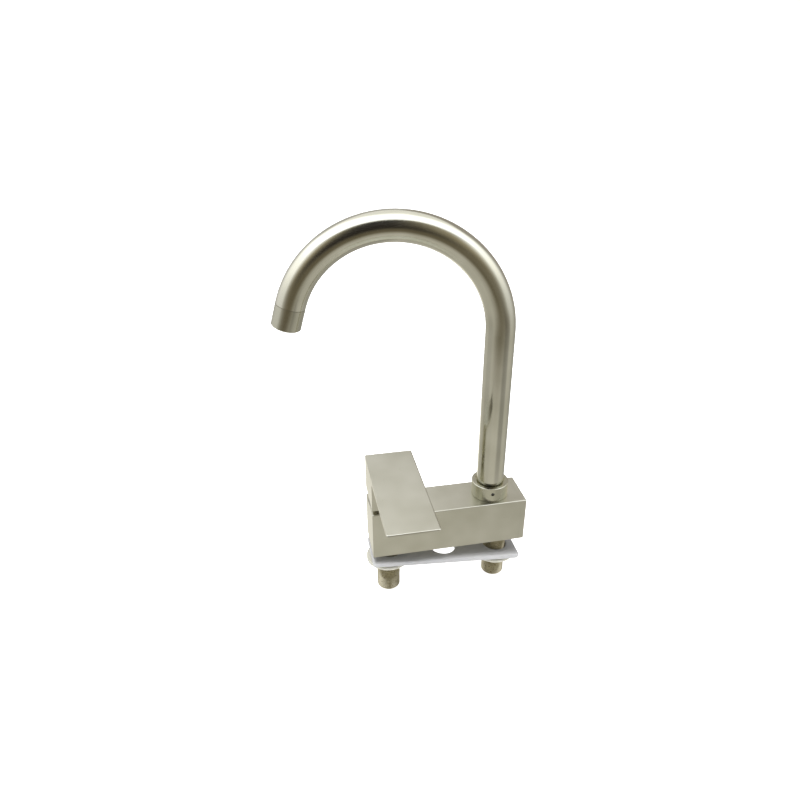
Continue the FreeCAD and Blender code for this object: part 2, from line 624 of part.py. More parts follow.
def handle():
    front = -BODY_DEPTH / 2
    outline, root_under = lever_outline()
    solid = drawn_sideways(outline, HANDLE_X - HANDLE_WIDTH / 2, HANDLE_X + HANDLE_WIDTH / 2)

    def root_line(box):
        at_front = near(box.YMin, front) and near(box.YMax, front)
        return at_front and near(box.ZMin, root_under) and near(box.ZMax, root_under)

    def away_from_root(box):
        reach = LEVER_ROOT_FILLET + 1
        beside = front - reach < box.YMin and box.YMax < front + 0.001
        level = root_under - reach < box.ZMin and box.ZMax < root_under + reach
        return not (beside and level)

    def tip_corner(box):
        return near(box.YMax, front - LEVER_REACH) and near(box.XLength, 0)

    solid = rounded(solid, LEVER_ROOT_FILLET, root_line)
    solid = rounded(solid, LEVER_CORNER_RADIUS, tip_corner)
    solid = rounded(solid, EDGE_RADIUS, away_from_root)
    half = STEM_SIZE / 2 + FIT
    cavity = rod(HANDLE_CAVITY_RADIUS, HANDLE_BOTTOM - 1, CAVITY_TOP, HANDLE_X)
    socket = block(HANDLE_X - half, HANDLE_X + half, -half, half, HANDLE_BOTTOM, STEM_TOP + SLIDE)
    screw_hole = rod(HANDLE_SCREW_DIAMETER / 2 + FIT, 0, BODY_DEPTH)
    laid_out(screw_hole, point(HANDLE_X, 0, HANDLE_SCREW_HEIGHT), -90)
    return cut_away(solid, [cavity, socket, screw_hole])


def handle_set_screw():
    screw = grub_screw(HANDLE_SCREW_DIAMETER, HANDLE_SCREW_LENGTH)
    start = point(HANDLE_X, -STEM_SIZE / 2 - FACE, HANDLE_SCREW_HEIGHT)
    return laid_out(screw, start, -90)


# Spout
def spout_collar():
    outer = COLLAR_DIAMETER / 2
    bore = TUBE_RADIUS + FIT
    spigot = COLLAR_SPIGOT_DIAMETER / 2
    passage = NIPPLE_DIAMETER / 2 + SLIDE
    recess = COLLAR_RECESS_DIAMETER / 2
    foot = BODY_HEIGHT + FACE
    bottom = BODY_HEIGHT - COLLAR_SPIGOT_LENGTH
    top = BODY_HEIGHT + COLLAR_HEIGHT
    step = top - COLLAR_RECESS_DEPTH
    outline = [(passage, bottom), (spigot, bottom), (spigot, foot), (outer - COLLAR_CHAMFER, foot)]
    outline += [(outer, foot + COLLAR_CHAMFER), (outer, top - COLLAR_CHAMFER), (outer - COLLAR_CHAMFER, top)]
    outline += [(recess, top), (recess, step), (bore, step), (bore, BODY_HEIGHT), (passage, BODY_HEIGHT)]
    collar = turned(outline, SPOUT_X)
    hole = rod(COLLAR_SCREW_DIAMETER / 2 + FIT, 0, outer + 1)
    return collar.cut(laid_out(hole, point(SPOUT_X, 0, COLLAR_SCREW_HEIGHT), COLLAR_SCREW_HEADING))


def collar_set_screw():
    tip = GROOVE_RADIUS + SLIDE
    length = COLLAR_DIAMETER / 2 - COLLAR_SCREW_RECESS - tip
    screw = grub_screw(COLLAR_SCREW_DIAMETER, length)
    screw.translate(point(0, 0, tip))
    return laid_out(screw, point(SPOUT_X, 0, COLLAR_SCREW_HEIGHT), COLLAR_SCREW_HEADING)


def spout_washer():
    inner = NIPPLE_DIAMETER / 2 + SLIDE
    return ring(inner, TUBE_RADIUS, BODY_HEIGHT + FACE, BODY_HEIGHT + WASHER_THICKNESS, SPOUT_X)


def spout_nipple():
    plug = NIPPLE_DIAMETER / 2
    bore = NIPPLE_BORE / 2
    spigot = TUBE_BORE_RADIUS - FIT
    shoulder = TUBE_FOOT - FACE
    spigot_top = shoulder + NIPPLE_SPIGOT_LENGTH
    outline = [(bore, NIPPLE_BOTTOM), (plug - NIPPLE_CHAMFER, NIPPLE_BOTTOM)]
    outline.append((plug, NIPPLE_BOTTOM + NIPPLE_CHAMFER))
    ring_half = SEAL_SECTION / 2 + FIT
    for height in RING_HEIGHTS:
        outline += groove(plug, plug - SEAL_SECTION, height, ring_half)
    outline += [(plug, NIPPLE_SHOULDER), (TUBE_RADIUS, NIPPLE_SHOULDER)]
    # The end of the collar's screw stands in this groove and keeps the spout from lifting out
    outline += groove(TUBE_RADIUS, GROOVE_RADIUS, COLLAR_SCREW_HEIGHT, GROOVE_HALF_WIDTH)
    outline += [(TUBE_RADIUS, shoulder), (spigot, shoulder), (spigot, spigot_top), (bore, spigot_top)]
    return turned(outline, SPOUT_X)


def groove(outer, floor, height, half_width):
    """The four corners of a square groove, going up the outside of a turned piece."""
    low = height - half_width
    high = height + half_width
    return [(outer, low), (floor, low), (floor, high), (outer, high)]


def spout_o_rings():
    section = SEAL_SECTION / 2
    middle = NIPPLE_DIAMETER / 2 - section + RUNNING / 2
    return Part.Compound([Part.makeTorus(middle, section, point(SPOUT_X, 0, z), UP) for z in RING_HEIGHTS])


def arch_centre():
    heading = math.radians(SPOUT_HEADING)
    x = SPOUT_X + ARCH_RADIUS * math.cos(heading)
    return point(x, ARCH_RADIUS * math.sin(heading), ARCH_CENTRE_HEIGHT)


def spout_bar(radius):
    """The leg and the arch of the spout as one solid bar."""
    leg = rod(radius, TUBE_FOOT, ARCH_CENTRE_HEIGHT, SPOUT_X)
    section = Part.Face(Part.Wire(Part.makeCircle(radius, point(SPOUT_X, 0, ARCH_CENTRE_HEIGHT), UP)))
    heading = math.radians(SPOUT_HEADING)
    axis = point(-math.sin(heading), math.cos(heading), 0)
    arch = section.revolve(arch_centre(), axis, ARCH_SWEEP)
    return joined([leg, arch])


def spout_tube():
    return spout_bar(TUBE_RADIUS).cut(spout_bar(TUBE_BORE_RADIUS))


def at_spout_end(shape):
    """Move a shape drawn down +Z from the origin to the end of the arch, along the flow."""
    centre = arch_centre()
    heading = math.radians(SPOUT_HEADING)
    outward = point(math.cos(heading), math.sin(heading), 0)
    across = point(-math.sin(heading), math.cos(heading), 0)
    shape.rotate(point(0, 0, 0), BACK, 180)
    shape.rotate(point(0, 0, 0), UP, SPOUT_HEADING)
    shape.translate(centre + outward * ARCH_RADIUS)
    shape.rotate(centre, across, ARCH_SWEEP - 180)
    return shape


def aerator_housing():
    outer = TUBE_RADIUS
    bore = AERATOR_BORE / 2
    shoulder = AERATOR_SHOULDER_BORE / 2
    spigot = TUBE_BORE_RADIUS - AERATOR_SPIGOT_CLEARANCE
    lip = EDGE_RADIUS / 2
    outline = [(shoulder, -AERATOR_SPIGOT_LENGTH), (spigot, -AERATOR_SPIGOT_LENGTH), (spigot, FACE)]
    outline += [(outer - AERATOR_SEAM_CHAMFER, FACE), (outer, FACE + AERATOR_SEAM_CHAMFER)]
    outline.append((outer, AERATOR_LENGTH - EDGE_RADIUS))
    outline += [(outer - EDGE_RADIUS, AERATOR_LENGTH), (bore + lip, AERATOR_LENGTH)]
    outline += [(bore, AERATOR_LENGTH - lip), (bore, AERATOR_SHOULDER_THICKNESS)]
    outline.append((shoulder, AERATOR_SHOULDER_THICKNESS))
    return at_spout_end(turned(outline))


def aerator_gasket():
    z0 = AERATOR_SHOULDER_THICKNESS + FACE
    z1 = z0 + AERATOR_GASKET_THICKNESS
    return at_spout_end(ring(AERATOR_SHOULDER_BORE / 2, AERATOR_BORE / 2 - FIT, z0, z1))


def aerator_screen():
    z0 = AERATOR_SHOULDER_THICKNESS + AERATOR_GASKET_THICKNESS + 2 * FACE
    z1 = z0 + AERATOR_SCREEN_THICKNESS
    disc = rod(AERATOR_BORE / 2 - FIT, z0, z1)
    reach = AERATOR_SHOULDER_BORE / 2
    holes = hole_grid(AERATOR_MESH_DIAMETER, AERATOR_MESH_PITCH, reach, z0 - 1, z1 + 1)
    return at_spout_end(cut_away(disc, holes))


def aerator_insert():
    above = AERATOR_SHOULDER_THICKNESS + AERATOR_GASKET_THICKNESS + AERATOR_SCREEN_THICKNESS
    z0 = above + 3 * FACE
    z1 = z0 + AERATOR_INSERT_LENGTH
    radius = AERATOR_BORE / 2 - FIT
    inside = radius - AERATOR_INSERT_WALL
    cup = rod(radius, z0, z1).cut(rod(inside, z0 - 1, z1 - AERATOR_INSERT_FLOOR))
    holes = hole_grid(AERATOR_HOLE_DIAMETER, AERATOR_HOLE_PITCH, inside, z0, z1 + 1)
    return at_spout_end(cut_away(cup, holes))


def pieces():
    return {
        "faucet_body": faucet_body(),
        "end_cap": end_cap(),
        "gallery_plugs": gallery_plugs(),
        "shank_left": shank(-SHANK_X),
        "shank_right": shank(SHANK_X),
        "shank_seals": shank_seals(),
        "base_plate": base_plate(),
        "mounting_nut_left": mounting_nut(-SHANK_X),
        "mounting_nut_right": mounting_nut(SHANK_X),
        "cartridge_base": cartridge_base(),
        "port_seals": port_seals(),
        "disc_seals": disc_seals(),
        "fixed_disc": fixed_disc(),
        "moving_disc": moving_disc(),
        "disc_carrier": disc_carrier(),
        "cartridge_housing": cartridge_housing(),
        "cartridge_nut": cartridge_nut(),
        "stem_guide": stem_guide(),
        "stem_pin": stem_pin(),
        "cartridge_stem": cartridge_stem(),
        "handle": handle(),
        "handle_set_screw": handle_set_screw(),
        "spout_collar": spout_collar(),
        "collar_set_screw": collar_set_screw(),
        "spout_washer": spout_washer(),
        "spout_nipple": spout_nipple(),
        "spout_o_rings": spout_o_rings(),
        "spout_tube": spout_tube(),
        "aerator_housing": aerator_housing(),
        "aerator_gasket": aerator_gasket(),
        "aerator_screen": aerator_screen(),
        "aerator_insert": aerator_insert(),
    }


os.makedirs("parts", exist_ok=True)
for name, shape in pieces().items():
    shape.exportStep("parts/" + name + ".step")
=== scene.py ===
import math

import bmesh
import bpy
from mathutils import Matrix, Vector


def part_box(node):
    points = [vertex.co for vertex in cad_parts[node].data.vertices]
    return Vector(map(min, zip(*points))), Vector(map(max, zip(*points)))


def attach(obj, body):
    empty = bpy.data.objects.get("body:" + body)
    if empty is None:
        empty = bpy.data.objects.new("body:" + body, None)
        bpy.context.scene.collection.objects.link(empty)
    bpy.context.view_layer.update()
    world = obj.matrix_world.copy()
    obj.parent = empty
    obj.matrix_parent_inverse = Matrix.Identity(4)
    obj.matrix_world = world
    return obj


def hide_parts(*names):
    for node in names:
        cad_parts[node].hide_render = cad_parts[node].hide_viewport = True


# Single-lever kitchen faucet in satin nickel, over the frame from the CAD model. Metres throughout:
# X runs along the bar from the lever to the spout, -Y faces the user, +Z is up.

MM = 0.001

# The photograph's viewpoint
CAMERA_PLACE = Vector((-126.05, -454.68, 385.67)) * MM
CAMERA_YAW = math.radians(10.85)
CAMERA_PITCH = math.radians(27.48)
CAMERA_ROLL = math.radians(-0.35)
CAMERA_LENS = 28.91
CAMERA_SENSOR = 36.0

# Gooseneck: a straight leg, then an arch bent on this radius through this sweep, headed this way
# from the bar's +X direction
ARCH_RADIUS = 84.0 * MM
ARCH_CENTRE_HEIGHT = 198.0 * MM
ARCH_SWEEP = math.radians(163.6)
SPOUT_HEADING = math.radians(170.3)

# Shank threads: half-inch pipe thread, with the crests of the supply end turned down a little
THREAD_PITCH = 1.814 * MM
THREAD_DEPTH = 1.05 * MM
CREST_RADIUS = 10.5 * MM
SUPPLY_CREST_RADIUS = 10.3 * MM
SUPPLY_THREAD_TOP = -34.5 * MM
SHANK_BORE_RADIUS = 6.5 * MM
SHANK_CHAMFER = 1.2 * MM
FACETS_ROUND = 48
# The thread over one pitch: how deep, as a share of its depth, and how far along the pitch
THREAD_PROFILE = ((0.0, 0.0), (0.0, 0.12), (1.0, 0.44), (1.0, 0.56), (0.0, 0.88), (0.0, 1.0))

# Points nearer to each other than this are one, and edges flatter than this are shaded smooth
SAME_POINT = 0.001 * MM
SMOOTH_ANGLE = math.radians(28)

# Nickel plate: darker and lighter places in its polish, a few fingers wide
NICKEL_DARK = "#C2C0AE"
NICKEL_LIGHT = "#DDDBCD"
POLISH_DRIFT = 22.0 * MM
# Real scratches are about 0.05 mm wide; at 0.35 mm they still show at arm's length
SCRATCH_WIDTH = 0.35 * MM
SCRATCH_DEPTH = 0.004 * MM
# How many times longer than wide the brush and the lathe leave them, along X, Y and Z
ALONG_BAR = (60.0, 1.0, 1.0)
ALONG_LEVER = (1.0, 60.0, 1.0)
ALONG_TUBE = (1.0, 1.0, 60.0)
TURNED_ROUND = (20.0, 20.0, 1.0)
# Painted shade in the seam above the spout's end, dark where its chamfer would catch a highlight: its
# colour, and how far below the seam it fades
SEAM_PAINTED_SHADE = "#55503F"
SEAM_SHADE_FULL = 0.2 * MM
SEAM_SHADE_GONE = 0.4 * MM

# Brightness of what the faucet mirrors, where burnt-out white is 1
TENT_LIGHT = 2.2
WALL_LOW_LIGHT = 0.55
WALL_HIGH_LIGHT = 1.14
WALL_SHADOW_LIGHT = 0.42
FLOOR_LIGHT = 0.58
LEFT_SWEEP_LIGHT = 1.14
NEAR_FLOOR_LIGHT = 0.64
RIGHT_FLOOR_LIGHT = 0.36
LEFT_FLAG_LIGHT = 0.48
# The same for what matt surfaces get from low and from overhead, for what one piece mirrors in
# another, low and high, for what it mirrors at third hand, and for the backdrop in the picture
MATT_LOW_LIGHT = 0.2
MATT_HIGH_LIGHT = 2.2
TWICE_LOW_LIGHT = 0.65
TWICE_HIGH_LIGHT = 1.3
THRICE_LIGHT = 1.05
BACKDROP_LIGHT = 1.2
# Colours of the light: warm below one brightness, cool from another on, and cream off the floor
WHITE = "#FFFFFF"
BLACK = "#000000"
WARM_DIM = "#FFE6C6"
WARM_BELOW = 0.7
COOL_TENT = "#F0F4FF"
COOL_FROM = 1.4
COOL_FULL = 2.1
CREAM_FLOOR = "#FFFCF2"

# The unlit room in front of the faucet: where its floor begins, how far its wall is, and its size
ROOM_START = 120.0 * MM
ROOM_DISTANCE = 680.0 * MM
ROOM_HEIGHT = 1800.0 * MM
ROOM_HALF_WIDTH = 2000.0 * MM
# How dark its floor and its hazy right side get, where the darkest place is 1, and its faint glow
FLOOR_DARKNESS = 0.8
HAZE_DARKNESS = 0.86
ROOM_LIGHT = 0.022
ROOM_GLOW = "#FFE8D0"
DUSK_BROWN = "#847C68"

# White sweep just below the shanks: its glow in the picture, and the glow that lights the faucet
SWEEP_HALF_WIDTH = 6.0
SWEEP_GAP = 1.0 * MM
SWEEP_GLOW_SEEN = 1.0
SWEEP_GLOW_GIVEN = 0.1

# Key light: a soft square high above, a little to the left and in front
KEY_PLACE = Vector((-0.25, -0.15, 1.35))
KEY_SIZE = 0.7
KEY_POWER = 15.0


# Small tools
def linear(code):
    """Turn an sRGB hex colour into the linear one that shaders take."""
    channels = [int(code[k:k + 2], 16) / 255 for k in (1, 3, 5)]
    return [c / 12.92 if c <= 0.04045 else ((c + 0.055) / 1.055) ** 2.4 for c in channels] + [1.0]


def add_node(tree, kind, inputs=None, **settings):
    """Add a node, set its settings, and set or link its inputs."""
    node = tree.nodes.new(kind)
    for name, value in settings.items():
        setattr(node, name, value)
    for socket, source in (inputs or {}).items():
        if isinstance(source, bpy.types.NodeSocket):
            tree.links.new(source, node.inputs[socket])
        else:
            node.inputs[socket].default_value = source
    return node


def cleared_nodes(block):
    """Switch a material or a world to nodes, and empty its tree."""
    block.use_nodes = True
    block.node_tree.nodes.clear()
    return block.node_tree


def new_finish(name):
    """A bare material with its shader, ready for its pattern."""
    finish = bpy.data.materials.new(name)
    tree = cleared_nodes(finish)
    shader = add_node(tree, "ShaderNodeBsdfPrincipled")
    add_node(tree, "ShaderNodeOutputMaterial", {"Surface": shader.outputs["BSDF"]})
    return finish, tree, shader


def object_place(tree):
    """Where a point lies on the object, in metres."""
    return add_node(tree, "ShaderNodeTexCoord").outputs["Object"]


def spread(tree, amount, low, high):
    """Spread a 0 to 1 pattern between two numbers."""
    node = add_node(tree, "ShaderNodeMapRange", {"Value": amount, "To Min": low, "To Max": high})
    return node.outputs["Result"]


def tint(tree, amount, dark, light):
    """Spread a 0 to 1 pattern between two hex colours."""
    mix = add_node(tree, "ShaderNodeMix", data_type="RGBA")
    tree.links.new(amount, mix.inputs["Factor"])
    mix.inputs[6].default_value = linear(dark)
    mix.inputs[7].default_value = linear(light)
    return mix.outputs[2]


def stain(tree, colour, code, amount):
    """Move a colour toward a hex colour by an amount from 0 to 1."""
    mix = add_node(tree, "ShaderNodeMix", data_type="RGBA")
    tree.links.new(amount, mix.inputs["Factor"])
    tree.links.new(colour, mix.inputs[6])
    mix.inputs[7].default_value = linear(code)
    return mix.outputs[2]


def step(tree, value, low, high):
    """A soft step from 0 at low to 1 at high; with low above high it falls instead."""
    node = add_node(tree, "ShaderNodeMapRange", {"Value": value, "From Min": low, "From Max": high},
                    interpolation_type="SMOOTHSTEP")
    return node.outputs["Result"]


def apart(tree, value, centre):
    """How far a value is from a centre, either way."""
    away = add_node(tree, "ShaderNodeMath", {0: value, 1: centre}, operation="SUBTRACT").outputs["Value"]
    return add_node(tree, "ShaderNodeMath", {0: away}, operation="ABSOLUTE").outputs["Value"]


def around(tree, value, centre, full, gone):
    """1 where a value is nearer to a centre than full, and 0 where it is farther than gone."""
    return step(tree, apart(tree, value, centre), gone, full)


def times(tree, *factors):
    """Several amounts from 0 to 1, multiplied."""
    product = factors[0]
    for factor in factors[1:]:
        node = add_node(tree, "ShaderNodeMath", {0: product, 1: factor}, operation="MULTIPLY")
        product = node.outputs["Value"]
    return product


def toward(tree, base, aim, amount):
    """Move a number toward another by an amount from 0 to 1."""
    node = add_node(tree, "ShaderNodeMix", {"Factor": amount, "A": base, "B": aim}, data_type="FLOAT")
    return node.outputs["Result"]


def speckle(tree, place, size, detail=2.0, stretch=(1.0, 1.0, 1.0)):
    """A noise pattern of about this size in metres, drawn out along an axis by its stretch."""
    scale = [1 / (size * s) for s in stretch]
    mapped = add_node(tree, "ShaderNodeMapping", {"Vector": place, "Scale": scale}).outputs["Vector"]
    noise = add_node(tree, "ShaderNodeTexNoise", {"Vector": mapped, "Scale": 1.0, "Detail": detail})
    return noise.outputs["Fac"]


def relief(tree, shader, height, depth):
    """Give the shader a bump of this depth in metres."""
    bump = add_node(tree, "ShaderNodeBump", {"Height": height, "Strength": 1.0, "Distance": depth})
    tree.links.new(bump.outputs["Normal"], shader.inputs["Normal"])


# Finishes
def brushed(name, place_of, stretch, roughness, dark=NICKEL_DARK, light=NICKEL_LIGHT, painted_shade_of=None):
    """Nickel plate over a belt-brushed casting: a warm grey metal whose fine parallel scratches
    blur what it mirrors into soft bands. Painted shade may darken it in places, such as a seam whose edge
    would catch a highlight."""
    finish, tree, shader = new_finish(name)
    place = place_of(tree)
    scratches = speckle(tree, place, SCRATCH_WIDTH, 3.0, stretch)
    drift = speckle(tree, place, POLISH_DRIFT, 1.0)
    colour = tint(tree, drift, dark, light)
    # Painted shade: the colour is darkened where the mask says, as a seam in shade would look
    if painted_shade_of:
        colour = stain(tree, colour, SEAM_PAINTED_SHADE, painted_shade_of(tree))
    tree.links.new(colour, shader.inputs["Base Color"])
    shader.inputs["Metallic"].default_value = 1.0
    tree.links.new(spread(tree, scratches, roughness - 0.05, roughness + 0.05), shader.inputs["Roughness"])
    relief(tree, shader, scratches, SCRATCH_DEPTH)
    return finish


def arch_lines():
    """The arch's centre, and the level direction that the spout points in."""
    heading = Vector((math.cos(SPOUT_HEADING), math.sin(SPOUT_HEADING), 0))
    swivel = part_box("spout_nipple")
    axis_x = (swivel[0].x + swivel[1].x) / 2
    return Vector((axis_x, 0, ARCH_CENTRE_HEIGHT)) + heading * ARCH_RADIUS, heading


def along_gooseneck(tree):
    """Where a point lies on the bent tube, as if it were straight: how far out from the arch's
    line, how far to the side, and how far along."""
    centre, heading = arch_lines()
    across = Vector((-heading.y, heading.x, 0))
    start = add_node(tree, "ShaderNodeVectorMath", {0: object_place(tree), 1: centre}, operation="SUBTRACT")
    shifted = start.outputs["Vector"]
    behind = add_node(tree, "ShaderNodeVectorMath", {0: shifted, 1: -heading}, operation="DOT_PRODUCT")
    back = behind.outputs["Value"]
    side = add_node(tree, "ShaderNodeVectorMath", {0: shifted, 1: across}, operation="DOT_PRODUCT")
    height = add_node(tree, "ShaderNodeSeparateXYZ", {"Vector": shifted}).outputs["Z"]
    above = add_node(tree, "ShaderNodeMath", {0: height, 1: 0.0}, operation="MAXIMUM").outputs["Value"]
    below = add_node(tree, "ShaderNodeMath", {0: height, 1: 0.0}, operation="MINIMUM").outputs["Value"]
    angle = add_node(tree, "ShaderNodeMath", {0: above, 1: back}, operation="ARCTAN2").outputs["Value"]
    along = add_node(tree, "ShaderNodeMath", {0: angle, 1: ARCH_RADIUS, 2: below}, operation="MULTIPLY_ADD")
    squared = add_node(tree, "ShaderNodeMath", {0: back, 1: back}, operation="MULTIPLY").outputs["Value"]
    reach = add_node(tree, "ShaderNodeMath", {0: above, 1: above, 2: squared}, operation="MULTIPLY_ADD")
    radius = add_node(tree, "ShaderNodeMath", {0: reach.outputs["Value"]}, operation="SQRT").outputs["Value"]
    proud = add_node(tree, "ShaderNodeMath", {0: radius, 1: ARCH_RADIUS}, operation="SUBTRACT")
    placed = {"X": proud.outputs["Value"], "Y": side.outputs["Value"], "Z": along.outputs["Value"]}
    return add_node(tree, "ShaderNodeCombineXYZ", placed).outputs["Vector"]


def seam_painted_shade(tree):
    """How much painted shade there is at a point of the spout's end: all in the seam, none past it. It
    darkens the seam and dulls the highlight on its chamfer.
    """
    centre, heading = arch_lines()
    upward = Vector((0, 0, 1))
    seam = centre + (upward * math.sin(ARCH_SWEEP) - heading * math.cos(ARCH_SWEEP)) * ARCH_RADIUS
    flow = heading * math.sin(ARCH_SWEEP) + upward * math.cos(ARCH_SWEEP)
    shifted = add_node(tree, "ShaderNodeVectorMath", {0: object_place(tree), 1: seam}, operation="SUBTRACT")
    past = add_node(tree, "ShaderNodeVectorMath", {0: shifted.outputs["Vector"], 1: flow},
                    operation="DOT_PRODUCT")
    return step(tree, past.outputs["Value"], SEAM_SHADE_GONE, SEAM_SHADE_FULL)


def rolled_thread_finish():
    """Nickel flash over rolled brass thread: yellower and rougher than the bar, with oily dark roots."""
    finish, tree, shader = new_finish("rolled_brass_thread")
    place = object_place(tree)
    # Grime lies in patches about a thread wide
    grime = speckle(tree, place, 1.6 * MM, 4.0)
    tree.links.new(tint(tree, grime, "#948C74", "#BFB79C"), shader.inputs["Base Color"])
    shader.inputs["Metallic"].default_value = 1.0
    tree.links.new(spread(tree, grime, 0.22, 0.36), shader.inputs["Roughness"])
    relief(tree, shader, speckle(tree, place, 0.3 * MM, 2.0), 0.01 * MM)
    return finish


def moulded(name, dark, light, roughness, grain, depth, through=0.0):
    """Injection-moulded plastic: one even colour with a faint sink and flow mottle and a fine mould
    grain. Light goes into it a little where through is given."""
    finish, tree, shader = new_finish(name)
    place = object_place(tree)
    # Flow marks are about a centimetre apart
    flow = speckle(tree, place, 9.0 * MM, 2.0)
    tree.links.new(tint(tree, flow, dark, light), shader.inputs["Base Color"])
    texture = speckle(tree, place, grain, 2.0)
    tree.links.new(spread(tree, texture, roughness - 0.06, roughness + 0.06), shader.inputs["Roughness"])
    shader.inputs["IOR"].default_value = 1.49
    if through:
        shader.inputs["Subsurface Weight"].default_value = through
        shader.inputs["Subsurface Radius"].default_value = (3.0 * MM, 3.0 * MM, 2.4 * MM)
        shader.inputs["Subsurface Scale"].default_value = 1.0
    relief(tree, shader, texture, depth)
    return finish


def machined(name, dark, light, roughness):
    """Bar metal turned on a lathe or sawn: bright, with fine tool marks and a little tarnish."""
    finish, tree, shader = new_finish(name)
    place = object_place(tree)
    # Tool marks are about 0.1 mm apart, drawn coarser to show, and tarnish lies in larger spots
    marks = speckle(tree, place, 0.25 * MM, 2.0, (6.0, 6.0, 1.0))
    tarnish = speckle(tree, place, 5.0 * MM, 3.0)
    tree.links.new(tint(tree, tarnish, dark, light), shader.inputs["Base Color"])
    shader.inputs["Metallic"].default_value = 1.0
    tree.links.new(spread(tree, marks, roughness - 0.07, roughness + 0.07), shader.inputs["Roughness"])
    relief(tree, shader, marks, 0.006 * MM)
    return finish


def fired_ceramic():
    """Alumina disc, lapped flat: ivory white and almost polished, with a faint fired mottle."""
    finish, tree, shader = new_finish("lapped_alumina")
    # Clusters of grains, just under a millimetre across
    mottle = speckle(tree, object_place(tree), 0.8 * MM, 4.0)
    tree.links.new(tint(tree, mottle, "#E6E1D4", "#F4F0E6"), shader.inputs["Base Color"])
    tree.links.new(spread(tree, mottle, 0.14, 0.24), shader.inputs["Roughness"])
    shader.inputs["IOR"].default_value = 1.76
    relief(tree, shader, mottle, 0.002 * MM)
    return finish


def seal_rubber():
    """Moulded EPDM: near black, dull, with a powdery bloom."""
    finish, tree, shader = new_finish("moulded_epdm")
    place = object_place(tree)
    # The bloom rubs off in spots about a millimetre wide
    bloom = speckle(tree, place, 1.2 * MM, 4.0)
    tree.links.new(tint(tree, bloom, "#161616", "#2B2B2A"), shader.inputs["Base Color"])
    tree.links.new(spread(tree, bloom, 0.55, 0.75), shader.inputs["Roughness"])
    relief(tree, shader, speckle(tree, place, 0.3 * MM, 2.0), 0.01 * MM)
    return finish


def dress(nodes, finish):
    """Give CAD nodes their finish."""
    for name in nodes:
        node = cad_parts[name]
        node.data.materials.clear()
        node.data.materials.append(finish)


# Forms
def made_object(form, name, finish):
    """Turn a form into an object of the scene, with its finish."""
    mesh = bpy.data.meshes.new(name)
    form.to_mesh(mesh)
    form.free()
    mesh.materials.append(finish)
    made = bpy.data.objects.new(name, mesh)
    bpy.context.scene.collection.objects.link(made)
    return made


def finished_piece(form, name, finish, body, stands_for):
    """Turn a finished form into an object that rides on its body and stands for its CAD piece."""
    for edge in form.edges:
        edge.smooth = len(edge.link_faces) == 2 and edge.calc_face_angle(0) < SMOOTH_ANGLE
    for face in form.faces:
        face.smooth = True
    piece = made_object(form, name, finish)
    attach(piece, body)
    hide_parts(stands_for)


def grown_from(form, edges, move):
    """Extrude edges by a move, and give the new edges and points."""
    grown = bmesh.ops.extrude_edge_only(form, edges=edges)["geom"]
    points = [g for g in grown if isinstance(g, bmesh.types.BMVert)]
    bmesh.ops.translate(form, verts=points, vec=move)
    return [g for g in grown if isinstance(g, bmesh.types.BMEdge)], points


def cut_level(form, height, keep_above):
    """Cut the form level at a height and throw one side away."""
    everything = form.verts[:] + form.edges[:] + form.faces[:]
    bmesh.ops.bisect_plane(form, geom=everything, dist=SAME_POINT / 10, plane_co=(0, 0, height),
                           plane_no=(0, 0, 1), clear_inner=keep_above, clear_outer=not keep_above)


def level_rim(form, height):
    """The open edges that lie at a height."""
    open_edges = [e for e in form.edges if e.is_boundary]
    return [e for e in open_edges if all(abs(v.co.z - height) < SAME_POINT for v in e.verts)]


def thread_ridge(form, low, high):
    """A helical thread from one height to the other, open at both ends."""
    turns = math.ceil((high - low) / THREAD_PITCH) + 2
    start = low - THREAD_PITCH
    corners = [form.verts.new((CREST_RADIUS - deep * THREAD_DEPTH, 0, start + along * THREAD_PITCH))
               for deep, along in THREAD_PROFILE]
    lines = [form.edges.new(pair) for pair in zip(corners, corners[1:])]
    bmesh.ops.spin(form, geom=corners + lines, cent=(0, 0, 0), axis=(0, 0, 1),
                   dvec=(0, 0, THREAD_PITCH / FACETS_ROUND), angle=2 * math.pi * turns,
                   steps=FACETS_ROUND * turns, use_merge=False, use_duplicate=False)
    bmesh.ops.remove_doubles(form, verts=form.verts[:], dist=SAME_POINT)
    cut_level(form, low, True)
    cut_level(form, high, False)


def turn_down_crests(form, low, high):
    """Turn the crests down at the supply end, and chamfer both ends."""
    for vert in form.verts:
        from_end = min(vert.co.z - low, high - vert.co.z)
        crest = SUPPLY_CREST_RADIUS if vert.co.z < SUPPLY_THREAD_TOP else CREST_RADIUS
        limit = min(crest, crest - SHANK_CHAMFER + max(from_end, 0))
        radius = vert.co.xy.length
        if radius > limit:
            vert.co.xy *= limit / radius


def threaded_shank(node):
    """A pipe thread from end to end of a shank, round its plain water bore."""
    low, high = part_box(node)
    form = bmesh.new()
    thread_ridge(form, low.z, high.z)
    turn_down_crests(form, low.z, high.z)
    low_rim = level_rim(form, low.z)
    high_rim = level_rim(form, high.z)
    mouth = SHANK_BORE_RADIUS + SHANK_CHAMFER
    bore = set(bmesh.ops.create_circle(form, segments=FACETS_ROUND, radius=mouth)["verts"])
    bmesh.ops.translate(form, verts=list(bore), vec=(0, 0, low.z))
    ring = [e for e in form.edges if all(v in bore for v in e.verts)]
    low_rim += ring
    straight = high.z - low.z - SHANK_CHAMFER
    for rise, radius in ((SHANK_CHAMFER, SHANK_BORE_RADIUS), (straight, SHANK_BORE_RADIUS)):
        ring, points = grown_from(form, ring, (0, 0, rise))
        share = radius / points[0].co.xy.length
        bmesh.ops.scale(form, verts=points, vec=(share, share, 1))
    high_rim += ring
    for edges in (low_rim, high_rim):
        bmesh.ops.triangle_fill(form, use_beauty=True, use_dissolve=False, edges=edges)
    bmesh.ops.recalc_face_normals(form, faces=form.faces[:])
    bmesh.ops.translate(form, verts=form.verts[:], vec=((low.x + high.x) / 2, 0, 0))
    return form


